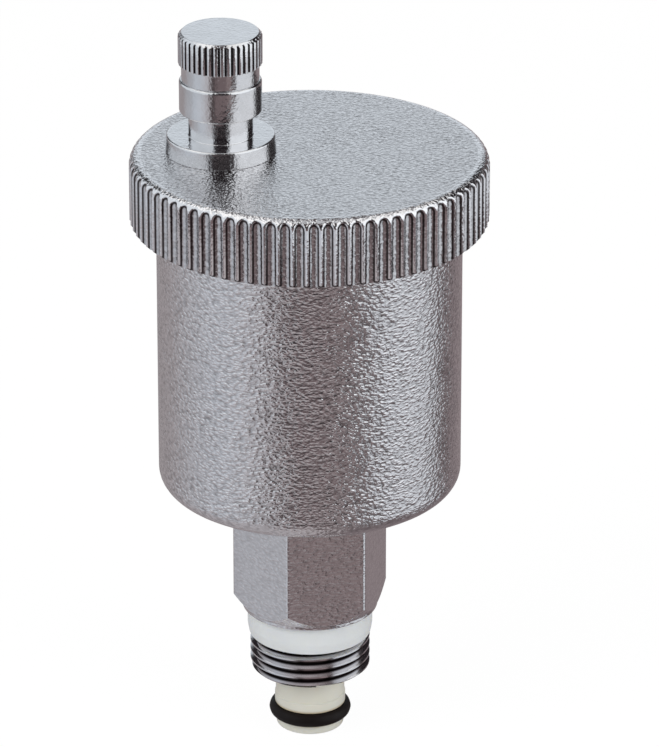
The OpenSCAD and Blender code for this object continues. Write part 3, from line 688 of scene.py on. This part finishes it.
class VENT_OT_bowl(bpy.types.Operator):
    """Model the cast bowl with its hexagon and inlet thread"""

    bl_idname = "vent.bowl"
    bl_label = "Bowl and inlet"

    def execute(self, context):
        size = context.scene.vent_bowl
        radius, base = size.bowl_radius, size.bowl_base
        relief_top = size.relief_low + size.relief_height
        relief_radius = radius - size.rim_depth - DEEPER
        bowl = turn("bowl", rounded([
            (0.0, base), (radius, base, size.bowl_edge), (radius, size.relief_low),
            (relief_radius, size.relief_low), (relief_radius, relief_top), (radius, relief_top),
            (radius, RIM_TOP, RIM_EDGE), (0.0, RIM_TOP)], steps=10), steps=192)
        carve(bowl, self.hexagon(size), "UNION")
        carve(bowl, self.inlet(size), "UNION")
        inner = radius - size.bowl_wall
        floor = base + size.floor_thickness
        carve(bowl, turn("inside_tool", rounded([
            (0.0, THREAD_LOW - PAST), (size.socket_radius, THREAD_LOW - PAST),
            (size.socket_radius, SPIGOT_TOP), (size.passage_radius, SPIGOT_TOP), (size.passage_radius, floor),
            (inner, floor, size.floor_edge), (inner, RIM_TOP + PAST), (0.0, RIM_TOP + PAST)]), steps=128))
        carve(bowl, helix_tool(radius, size.rim_depth, size.rim_pitch, size.rim_crest,
                               size.relief_low + size.relief_height / 2, RIM_TOP + size.rim_pitch))
        shade(bowl)

        def thread_root_shade(tree, reach, level):
            """Painted shade at the root of the inlet thread, light from halfway up its flanks."""
            dark_up_to, light_from = 0.75 * size.thread_depth, 0.4 * size.thread_depth
            return ease(tree, reach, size.thread_radius - dark_up_to, size.thread_radius - light_from,
                        first=0.02, last=1.2)

        def grain_strength(tree, reach, level):
            """Nothing on the thread, some grain on the hexagon and all of it on the bowl."""
            hexagon = ease(tree, level, 0.0, SEAL_TOP, last=0.4)
            more = ease(tree, level, base + 0.1 * size.bowl_edge, base + size.bowl_edge, last=0.6)
            return maths(tree, "ADD", hexagon, more)

        finish = context.scene.vent_finish
        plating = plated_casting("cast_chrome", finish, finish.grain, flatten=1.8, hollow=thread_root_shade,
                                 strength=grain_strength)
        fit_out(bowl, plating, "body", "cast_plating", "body")
        return {"FINISHED"}

    def hexagon(self, size):
        """Hexagon with softened corners and a conical chamfer above a round collar."""
        corner = size.hex_flats / 2 / math.cos(math.pi / 6)
        low = SEAL_TOP - PAST
        top = size.bowl_base + PAST
        clear()
        bpy.ops.mesh.primitive_cylinder_add(
            vertices=6, radius=corner, depth=top - low, location=(0.0, 0.0, (low + top) / 2),
            rotation=(0.0, 0.0, size.hex_turn - math.pi / 6))
        block = settle("hexagon")
        bpy.ops.object.mode_set(mode="EDIT")
        bpy.ops.mesh.select_mode(type="EDGE")
        bpy.ops.mesh.select_all(action="DESELECT")
        mesh = bmesh.from_edit_mesh(block.data)
        # The upright edges are softened
        for edge in mesh.edges:
            edge.select_set(abs(edge.verts[0].co.z - edge.verts[1].co.z) > MM)
        bmesh.update_edit_mesh(block.data)
        bpy.ops.mesh.bevel(offset=size.hex_corner, segments=4, affect="EDGES")
        bpy.ops.mesh.select_mode(type="VERT")
        bpy.ops.object.mode_set(mode="OBJECT")
        collar = size.hex_flats / 2 - size.collar_inset
        collar_top = SEAL_TOP + size.collar_height
        outer = corner + PAST
        rise = (outer - collar) * math.tan(size.hex_slope)
        carve(block, turn("chamfer_tool", rounded([
            (0.0, SEAL_TOP), (collar, SEAL_TOP, RIM_EDGE), (collar, collar_top), (outer, collar_top + rise),
            (outer, top + PAST), (0.0, top + PAST)]), steps=144), "INTERSECT")
        return block

    def inlet(self, size):
        """Threaded inlet with the neck that carries the sealing ring."""
        radius, chamfer = size.thread_radius, size.thread_chamfer
        stub = turn("inlet", rounded([
            (0.0, THREAD_LOW), (radius - chamfer, THREAD_LOW), (radius, THREAD_LOW + chamfer), (radius, 0.0),
            (size.neck_radius, 0.0), (size.neck_radius, SEAL_TOP + PAST), (0.0, SEAL_TOP + PAST)]), steps=128)
        carve(stub, helix_tool(radius, size.thread_depth, size.thread_pitch, size.thread_crest,
                               THREAD_LOW - size.thread_pitch, size.thread_pitch / 2))
        return stub


class VENT_OT_lid(bpy.types.Operator):
    """Model the lid with its flutes and its rounded edge"""

    bl_idname = "vent.lid"
    bl_label = "Lid"

    def execute(self, context):
        size = context.scene.vent_lid
        pitch = math.tau * size.radius / size.flutes
        columns = flute_columns(pitch, size.flute_radius, size.flute_depth, size.rib_round)
        outline = rounded([
            (0.0, CEILING), (size.bore, CEILING), (size.bore, LID_LOW),
            (size.radius - size.chamfer, LID_LOW), (size.radius, LID_LOW + size.chamfer),
            (size.radius, LID_TOP, size.edge), (0.0, LID_TOP)], steps=12)
        lid = turn_fluted("fluted_lid", outline, size.flutes, columns, size.radius, LID_LOW, LID_TOP)
        carve(lid, turn("hole_tool", [
            (0.0, CEILING - PAST), (size.post_hole, CEILING - PAST), (size.post_hole, LID_TOP + PAST),
            (0.0, LID_TOP + PAST)], steps=64, axis=POST_X))
        shade(lid, degrees=40.0)

        def flute_shade_and_rib_highlight(tree, reach, level):
            """Painted shade on the flanks of the flutes, painted highlight on the ribs, lighter in the middle
            of a flute and on the top.
            """
            over = maths(tree, "MAXIMUM", maths(tree, "SUBTRACT", level, LID_TOP - size.edge), 0.0)
            bow = maths(tree, "MULTIPLY_ADD", over, maths(tree, "MULTIPLY", over, -1.0), size.edge ** 2)
            outside = maths(tree, "ADD", maths(tree, "SQRT", maths(tree, "MAXIMUM", bow, 0.0)),
                            size.radius - size.edge)
            deep = maths(tree, "SUBTRACT", outside, reach)
            # Painted highlight: the ribs are lifted to the full plating colour, over the grain's painted
            # crease shade
            rib = ease(tree, deep, 0.12 * MM, 0.22 * MM, first=1.4, last=0.0)
            middle = ease(tree, deep, 0.74 * size.flute_depth, 0.94 * size.flute_depth, first=0.02)
            top = ease(tree, level, LID_TOP - 0.25 * MM, LID_TOP - 0.05 * MM)
            return maths(tree, "MAXIMUM", maths(tree, "MAXIMUM", rib, middle), top)

        def grain_strength(tree, reach, level):
            """All of the grain on the top, less of it on the flutes."""
            return ease(tree, reach, size.radius - 0.45 * size.edge, size.radius - 0.3 * size.edge,
                        first=1.0, last=0.5)

        finish = context.scene.vent_finish
        plating = plated_casting("cast_chrome_lid", finish, LID_GRAIN * finish.grain, flatten=1.0,
                                 hollow=flute_shade_and_rib_highlight, strength=grain_strength)
        fit_out(lid, plating, "lid", "cast_plating", "lid")
        return {"FINISHED"}


class VENT_OT_post(bpy.types.Operator):
    """Model the turned vent post"""

    bl_idname = "vent.post"
    bl_label = "Vent post"

    def execute(self, context):
        size = context.scene.vent_post
        flange_top = LID_TOP + size.flange_height
        shank_top = flange_top + size.shank_height
        gasket_top = LID_TOP + size.gasket_height
        socket_low = POST_TOP - size.socket_depth
        fine, soft = size.edge / 3, 1.4 * size.edge
        post = turn("turned_post", rounded([
            (size.orifice, POST_LOW), (size.seat_radius, POST_LOW), (size.seat_radius, size.tail_low),
            (size.tail_radius, size.tail_low, size.edge), (size.tail_radius, gasket_top),
            (size.gasket_radius, gasket_top), (size.gasket_radius, LID_TOP),
            (size.flange_radius + size.flange_flare, LID_TOP, fine),
            (size.flange_radius, flange_top, size.edge), (size.shank_radius, flange_top, fine),
            (size.shank_radius, shank_top, fine), (size.head_radius, shank_top, size.edge),
            (size.head_radius, POST_TOP, soft), (size.socket_radius, POST_TOP, fine),
            (size.socket_radius, socket_low), (size.bore, socket_low), (size.bore, size.web_top),
            (size.orifice, size.web_top)], closed=True), steps=144, axis=POST_X)
        shade(post)
        plating = bright_plating("bright_chrome", context.scene.vent_finish)
        fit_out(post, plating, "lid", "polished_plating", "vent_post")
        return {"FINISHED"}


class VENT_OT_cap(bpy.types.Operator):
    """Model the knurled cap with its threaded stub"""

    bl_idname = "vent.cap"
    bl_label = "Vent cap"

    def execute(self, context):
        size = context.scene.vent_cap
        neck_top = POST_TOP + size.neck_height
        stub_low = CAP_LOW + size.nub_height
        stub_top = POST_TOP - size.relief
        relief_radius = size.stub_radius - size.stub_depth - DEEPER
        pitch = math.tau * size.radius / size.ridges
        columns = flute_columns(pitch, size.groove_radius, size.groove_depth, size.groove_round)
        bevel_rows = [(size.radius - size.bevel * part, CAP_TOP - size.bevel * (1.0 - part))
                      for part in (0.0, 0.25, 0.5, 0.7)]
        outline = rounded([
            (0.0, CAP_LOW), (size.nub_radius, CAP_LOW), (size.nub_radius, stub_low),
            (size.stub_radius, stub_low), (size.stub_radius, stub_top), (relief_radius, stub_top),
            (relief_radius, POST_TOP), (size.neck_radius, POST_TOP, NECK_EDGE),
            (size.neck_radius, neck_top), (size.radius, neck_top, KNURL_EDGE), *bevel_rows,
            (size.radius - size.bevel, CAP_TOP, KNURL_EDGE), (0.0, CAP_TOP)], steps=4)
        cap = turn_fluted("knurled_cap", outline, size.ridges, columns, size.radius, neck_top, CAP_TOP,
                          axis=POST_X)
        carve(cap, helix_tool(size.stub_radius, size.stub_depth, size.stub_pitch, size.stub_crest,
                              stub_low - size.stub_pitch, POST_TOP - size.relief / 2, axis=POST_X))
        slot_low, slot_top = stub_low - PAST, POST_TOP - HOLD
        clear()
        bpy.ops.mesh.primitive_cube_add(
            size=1.0, scale=(size.slot_width, size.slot_depth + PAST, slot_top - slot_low),
            location=(POST_X, size.stub_radius + (PAST - size.slot_depth) / 2, (slot_low + slot_top) / 2))
        carve(cap, settle("slot_tool"))
        shade(cap, degrees=40.0)

        def knurl_groove_shade(tree, reach, level):
            """Painted shade in the knurl's grooves, light on its ridges, its top and its neck."""
            over = maths(tree, "MAXIMUM", maths(tree, "SUBTRACT", level, CAP_TOP - size.bevel), 0.0)
            deep = maths(tree, "SUBTRACT", maths(tree, "SUBTRACT", size.radius, over), reach)
            groove = ease(tree, deep, 0.1 * MM, 0.17 * MM, first=1.0, last=0.02)
            top = ease(tree, level, CAP_TOP - 0.05 * MM, CAP_TOP - 0.01 * MM)
            neck = ease(tree, level, neck_top - 0.02 * MM, neck_top + 0.02 * MM, first=1.0, last=0.0)
            return maths(tree, "MAXIMUM", maths(tree, "MAXIMUM", groove, top), neck)

        plating = bright_plating("bright_chrome_cap", context.scene.vent_finish, knurl_groove_shade)
        fit_out(cap, plating, "cap", "polished_plating", "vent_cap")
        return {"FINISHED"}


class VENT_OT_inlet(bpy.types.Operator):
    """Model the sealing ring, the spigot and its O-ring"""

    bl_idname = "vent.inlet"
    bl_label = "Seals and spigot"

    def execute(self, context):
        size = context.scene.vent_inlet
        finish = context.scene.vent_finish
        taper_end, taper_round = SEAL_TOP / 3, 10 * size.seal_edge
        seal = turn("sealing_ring", rounded([
            (size.seal_bore, 0.0), (size.seal_radius - size.seal_taper, 0.0, size.seal_edge),
            (size.seal_radius, taper_end, taper_round), (size.seal_radius, SEAL_TOP, size.seal_edge),
            (size.seal_bore, SEAL_TOP)], closed=True), steps=128)
        shade(seal)
        white = moulded("waxy_white", finish.seal_white, rough=(0.38, 0.5), cells=2500.0, depth=0.006 * MM,
                        glow=0.25)
        fit_out(seal, white, "body", "white_seal", "thread_seal")
        self.spigot(size, finish)
        self.oring(finish)
        return {"FINISHED"}

    def spigot(self, size, finish):
        """Spigot with a lip, the O-ring's groove and a band above it."""
        low = RING_LOW.z - size.groove_room
        high = RING_HIGH.z + size.groove_room
        band_top = high + size.band_height
        step = size.band_radius - size.spigot_radius
        spigot = turn("spigot_tube", rounded([
            (size.spigot_bore, SPIGOT_LOW, SPIGOT_END), (size.lip_radius, SPIGOT_LOW, SPIGOT_END),
            (size.lip_radius, low, LIP_EDGE), (size.groove_radius, low), (size.groove_radius, high),
            (size.band_radius, high, BAND_EDGE), (size.band_radius, band_top - step),
            (size.spigot_radius, band_top), (size.spigot_radius, SPIGOT_TOP, SPIGOT_BACK),
            (size.spigot_bore, SPIGOT_TOP)], closed=True), steps=128)
        shade(spigot)

        def away_from_ring(tree, reach, level):
            """Free of the ochre tint below the groove's lower edge and above its upper one, so the tint lies
            along the groove's edges.
            """
            return maths(tree, "MAXIMUM", ease(tree, level, low - 0.25 * MM, low, first=0.9, last=0.0),
                         ease(tree, level, high, high + 0.5 * MM, last=0.9))

        # Ochre tint along the edges of the O-ring's groove
        cream = moulded("moulded_cream", finish.cream, rough=(0.28, 0.4), cells=1800.0, depth=0.005 * MM,
                        glow=0.4, tint=finish.ochre, untinted=away_from_ring)
        fit_out(spigot, cream, "body", "cream_plastic", "spigot")

    def oring(self, finish):
        """O-ring that is flattened where it sits and has a fine parting line outside."""
        section = (RING_HIGH.z - RING_LOW.z) / 2
        middle = (RING_HIGH.z + RING_LOW.z) / 2
        major = RING_HIGH.x - section
        clear()
        bpy.ops.mesh.primitive_torus_add(location=(0.0, 0.0, middle), major_radius=major,
                                         minor_radius=section, major_segments=128, minor_segments=32)
        ring = settle("rubber_ring")
        bpy.ops.object.mode_set(mode="EDIT")
        mesh = bmesh.from_edit_mesh(ring.data)
        # The outside goes in beside the parting line, and the inside is pressed flat against the groove
        for ratio, chosen in (
                (0.996, lambda r, z: r > major + 0.9 * section and abs(z - middle) > 0.05 * section),
                (1.008, lambda r, z: r < major - 0.98 * section)):
            bpy.ops.mesh.select_all(action="DESELECT")
            for vertex in mesh.verts:
                vertex.select_set(chosen(math.hypot(vertex.co.x, vertex.co.y), vertex.co.z))
            bmesh.update_edit_mesh(ring.data)
            bpy.ops.transform.resize(value=(ratio, ratio, 1.0), center_override=(0.0, 0.0, middle))
        weld()
        shade(ring)
        fit_out(ring, ring_rubber(finish), "body", "black_rubber", "spigot_oring")


class VENT_OT_inner(bpy.types.Operator):
    """Give the parts inside the vent their finishes"""

    bl_idname = "vent.inner"
    bl_label = "Inner parts"

    def execute(self, context):
        finish = context.scene.vent_finish
        skin = {"rough": (0.35, 0.5), "cells": 1500.0, "depth": 0.006 * MM}
        finishes = (
            (ring_rubber(finish), ("lid_gasket", "stem_seal", "cap_washer")),
            (metal("drawn_steel", finish.steel, rough=(0.22, 0.36), lines=4000.0, depth=0.004 * MM),
             ("lever_bracket", "pivot_pin", "pin_clip", "valve_spring", "valve_stem", "stem_clip",
              "float_pin")),
            (metal("turned_brass", finish.brass, rough=(0.2, 0.34), lines=3000.0, depth=0.006 * MM),
             ("post_nut", "stem_collar")),
            (moulded("moulded_float", finish.floats, glow=0.2, **skin),
             ("float_top", "float_bottom", "float_yoke")),
            (moulded("moulded_lever", finish.lever, glow=0.15, **skin), ("lever",)),
            (moulded("pressed_fibre", finish.fibre, rough=(0.65, 0.85), cells=4000.0, depth=0.02 * MM),
             ("post_gasket",)),
        )
        for material, names in finishes:
            for name in names:
                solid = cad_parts[name]
                solid.data.materials.clear()
                solid.data.materials.append(material)
        return {"FINISHED"}


# Colours of the studio that plating mirrors
BLACK = (0.02, 0.016, 0.018)
SHADOW = (0.08, 0.063, 0.065)
DUSK = (0.14, 0.13, 0.135)
WINDOW = (0.77, 0.83, 0.89)
HIGH_WINDOW = (0.44, 0.475, 0.51)
ZENITH = (0.5, 0.51, 0.53, 1.0)
WHITE = (1.0, 1.0, 1.0, 1.0)
# Layers of the studio round the vent, as (degrees right of the camera, colour) stops: the floor under it
GROUND = [
    (-180, (0.3, 0.26, 0.27)), (-110, (0.42, 0.4, 0.42)), (-40, (0.42, 0.4, 0.42)),
    (0, (0.46, 0.42, 0.43)), (50, (0.15, 0.125, 0.13)), (180, (0.24, 0.2, 0.21))]
# The floor further out and the feet of the panels
BELOW = [
    (-180, (0.35, 0.32, 0.33)), (-124, (0.35, 0.32, 0.33)), (-106, (0.43, 0.435, 0.465)),
    (-90, (0.45, 0.46, 0.495)), (-76, (0.53, 0.565, 0.62)), (-56, (0.55, 0.575, 0.625)),
    (-40, (0.5, 0.49, 0.52)), (-31, (0.4, 0.375, 0.39)), (-24, SHADOW), (-17, SHADOW),
    (-9, (0.175, 0.135, 0.14)), (17, (0.175, 0.135, 0.14)), (24, (0.25, 0.197, 0.2)),
    (31, (0.25, 0.197, 0.2)), (37, SHADOW), (42, SHADOW), (53, (0.68, 0.71, 0.755)),
    (106, (0.68, 0.71, 0.75)), (114, SHADOW), (121, SHADOW), (132, (0.25, 0.208, 0.216)),
    (150, (0.26, 0.218, 0.226)), (170, (0.34, 0.285, 0.295)), (180, (0.34, 0.285, 0.295))]
# Two bright panels beside the camera with dark gaps between
UPPER = [
    (-152, BLACK), (-138, BLACK), (-130, (0.72, 0.77, 0.82)), (-28, (0.78, 0.82, 0.86)), (-22, BLACK),
    (28, BLACK), (33, (1.09, 1.13, 1.17)), (108, (1.04, 1.08, 1.12)), (113, BLACK), (156, BLACK)]
# The same panels with paler gaps, for flat faces that are seen at a low angle
LEVEL = [
    (-150, (0.24, 0.25, 0.27)), (-130, (0.7, 0.75, 0.8)), (-40, (0.75, 0.79, 0.83)), (-20, DUSK), (25, DUSK),
    (40, (1.0, 1.04, 1.08)), (108, (0.98, 1.02, 1.06)), (116, (0.16, 0.155, 0.16)), (152, (0.2, 0.2, 0.21))]
# The ceiling, where the stops run from far left to far right, with a dark strip over the vent
ROOF = [
    (-180, (1.1, 1.1, 1.1)), (-36, (1.1, 1.1, 1.1)), (-22, SHADOW), (34, SHADOW),
    (48, (1.0, 1.0, 1.0)), (180, (1.0, 1.0, 1.0))]


def bare_tree(owner):
    """Empty node tree of a material or world."""
    owner.use_nodes = True
    owner.node_tree.nodes.clear()
    return owner.node_tree


def facing(way):
    """Turn of a lamp or camera that looks along a direction."""
    return way.to_track_quat("-Z", "Y").to_euler()


class VENT_OT_stage(bpy.types.Operator):
    """Set up the floor, the studio light and the camera"""

    bl_idname = "vent.stage"
    bl_label = "Stage"

    def execute(self, context):
        stage = context.scene.vent_stage
        self.floor()
        self.studio(context.scene, stage)
        self.lamps(stage)
        self.camera(context.scene, stage)
        context.scene.view_settings.view_transform = "Standard"
        return {"FINISHED"}

    def floor(self):
        """Matt floor that is nearly white to the camera and keeps the vent's shadow."""
        gap, white_part = 0.1 * MM, 0.93
        clear()
        bpy.ops.mesh.primitive_plane_add(size=6.0, location=(0.0, 0.0, SPIGOT_LOW - gap))
        floor = settle("floor")
        floor.visible_glossy = False
        material = bpy.data.materials.new("pale_floor")
        tree = bare_tree(material)
        matt = add_node(tree, "ShaderNodeBsdfDiffuse", Color=(0.9, 0.9, 0.9, 1.0))
        glow = add_node(tree, "ShaderNodeEmission", Color=WHITE, Strength=1.035)
        seen = tree.nodes.new("ShaderNodeLightPath").outputs["Is Camera Ray"]
        both = add_node(tree, "ShaderNodeMixShader", Fac=maths(tree, "MULTIPLY", seen, white_part))
        tree.links.new(matt.outputs[0], both.inputs[1])
        tree.links.new(glow.outputs[0], both.inputs[2])
        add_node(tree, "ShaderNodeOutputMaterial", Surface=both.outputs[0])
        floor.data.materials.append(material)

    def studio(self, scene, stage):
        """World that is white to the camera, even to matt surfaces and a ring of panels to plating."""
        scene.world = bpy.data.worlds.new("studio")
        tree = bare_tree(scene.world)
        way = tree.nodes.new("ShaderNodeTexCoord").outputs["Generated"]
        turned = add_node(tree, "ShaderNodeVectorRotate", {"rotation_type": "Z_AXIS"}, Vector=way,
                          Angle=-stage.azimuth)
        axes = add_node(tree, "ShaderNodeSeparateXYZ", Vector=turned.outputs[0]).outputs
        angle = maths(tree, "ARCTAN2", axes["X"], maths(tree, "MULTIPLY", axes["Y"], -1.0))
        around = maths(tree, "MULTIPLY_ADD", angle, 1.0 / math.tau, 0.5)
        sideways = maths(tree, "MULTIPLY_ADD", axes["X"], 0.5, 0.5)
        room = self.panels(tree, around, GROUND)
        above = self.panels(tree, around, self.closed(UPPER, WINDOW))
        # From the ground up, each layer takes over between two heights of the direction
        for low, high, layer in (
                (-0.62, -0.45, self.panels(tree, around, BELOW)),
                (-0.12, 0.06, above),
                (0.1, 0.16, self.panels(tree, around, self.closed(LEVEL, WINDOW))),
                (0.22, 0.26, above),
                (0.32, 0.5, self.panels(tree, around, self.closed(UPPER, HIGH_WINDOW))),
                (0.66, 0.84, self.panels(tree, sideways, ROOF)),
                (0.93, 0.97, ZENITH)):
            room = mix(tree, ease(tree, axes["Z"], low, high), room, layer)
        paths = tree.nodes.new("ShaderNodeLightPath").outputs
        plain = mix(tree, paths["Is Camera Ray"], (stage.ambient,) * 3 + (1.0,), WHITE)
        mirror = maths(tree, "MAXIMUM", paths["Is Glossy Ray"], paths["Is Transmission Ray"])
        light = add_node(tree, "ShaderNodeBackground", Color=mix(tree, mirror, plain, room), Strength=1.0)
        add_node(tree, "ShaderNodeOutputWorld", Surface=light.outputs[0])

    def closed(self, stops, back):
        """Stops round the horizon with one colour at the back."""
        return [(-180, back), (-164, back), *stops, (166, back), (180, back)]

    def panels(self, tree, where, stops):
        """Colour along a way round the horizon or across the ceiling, from its stops."""
        ramp = add_node(tree, "ShaderNodeValToRGB", Fac=where)
        marks = ramp.color_ramp.elements
        while len(marks) < len(stops):
            marks.new(0.5)
        for mark, (degrees, value) in zip(marks, stops):
            mark.position = degrees / 360.0 + 0.5
            mark.color = (*value, 1.0)
        return ramp.outputs["Color"]

    def lamps(self, stage):
        """Soft lamps at the left and right that don't show in plating."""
        middle = Vector((0.0, 0.0, stage.aim))
        for name, watts, place, width in (
                ("key_lamp", stage.key, (-0.45, -0.45, 0.55), 0.5),
                ("fill_lamp", stage.fill, (0.5, -0.35, 0.3), 0.4)):
            bpy.ops.object.light_add(type="AREA", location=place, rotation=facing(middle - Vector(place)))
            lamp = bpy.context.active_object
            lamp.name = name
            lamp.data.energy = watts
            lamp.data.size = width
            lamp.visible_glossy = False

    def camera(self, scene, stage):
        """Camera at the photograph's angle."""
        level = math.cos(stage.elevation)
        back = Vector((math.sin(stage.azimuth) * level, -math.cos(stage.azimuth) * level,
                       math.sin(stage.elevation)))
        right = Vector((math.cos(stage.azimuth), math.sin(stage.azimuth), 0.0))
        place = Vector((0.0, 0.0, stage.aim)) + back * stage.distance + right * stage.slide
        bpy.ops.object.camera_add(location=place, rotation=facing(-back))
        camera = bpy.context.active_object
        camera.data.lens = stage.lens
        camera.data.sensor_width = 36.0
        camera.data.clip_start = 0.01
        scene.camera = camera


class VENT_PT_sidebar(bpy.types.Panel):
    """Buttons that build the vent's pieces, with the sizes of each."""

    bl_idname = "VENT_PT_sidebar"
    bl_label = "Air vent"
    bl_space_type = "VIEW_3D"
    bl_region_type = "UI"
    bl_category = "Air vent"

    def draw(self, context):
        for operator in PIECES:
            self.layout.operator(operator.bl_idname)
        for group in GROUPS:
            box = self.layout.box()
            box.label(text=group.__doc__)
            values = getattr(context.scene, GROUPS[group])
            for key in group.__annotations__:
                box.prop(values, key)


PIECES = (VENT_OT_bowl, VENT_OT_lid, VENT_OT_post, VENT_OT_cap, VENT_OT_inlet, VENT_OT_inner, VENT_OT_stage)
GROUPS = {
    VentBowlSizes: "vent_bowl", VentLidSizes: "vent_lid", VentPostSizes: "vent_post",
    VentCapSizes: "vent_cap", VentInletSizes: "vent_inlet", VentFinish: "vent_finish",
    VentStageSettings: "vent_stage",
}


def register():
    for group, name in GROUPS.items():
        bpy.utils.register_class(group)
        setattr(bpy.types.Scene, name, PointerProperty(type=group))
    for operator in PIECES:
        bpy.utils.register_class(operator)
    bpy.utils.register_class(VENT_PT_sidebar)


def unregister():
    bpy.utils.unregister_class(VENT_PT_sidebar)
    for operator in reversed(PIECES):
        bpy.utils.unregister_class(operator)
    for group, name in GROUPS.items():
        delattr(bpy.types.Scene, name)
        bpy.utils.unregister_class(group)


def main():
    register()
    bpy.ops.vent.bowl()
    bpy.ops.vent.lid()
    bpy.ops.vent.post()
    bpy.ops.vent.cap()
    bpy.ops.vent.inlet()
    bpy.ops.vent.inner()
    bpy.ops.vent.stage()


if __name__ == "__main__":
    main()
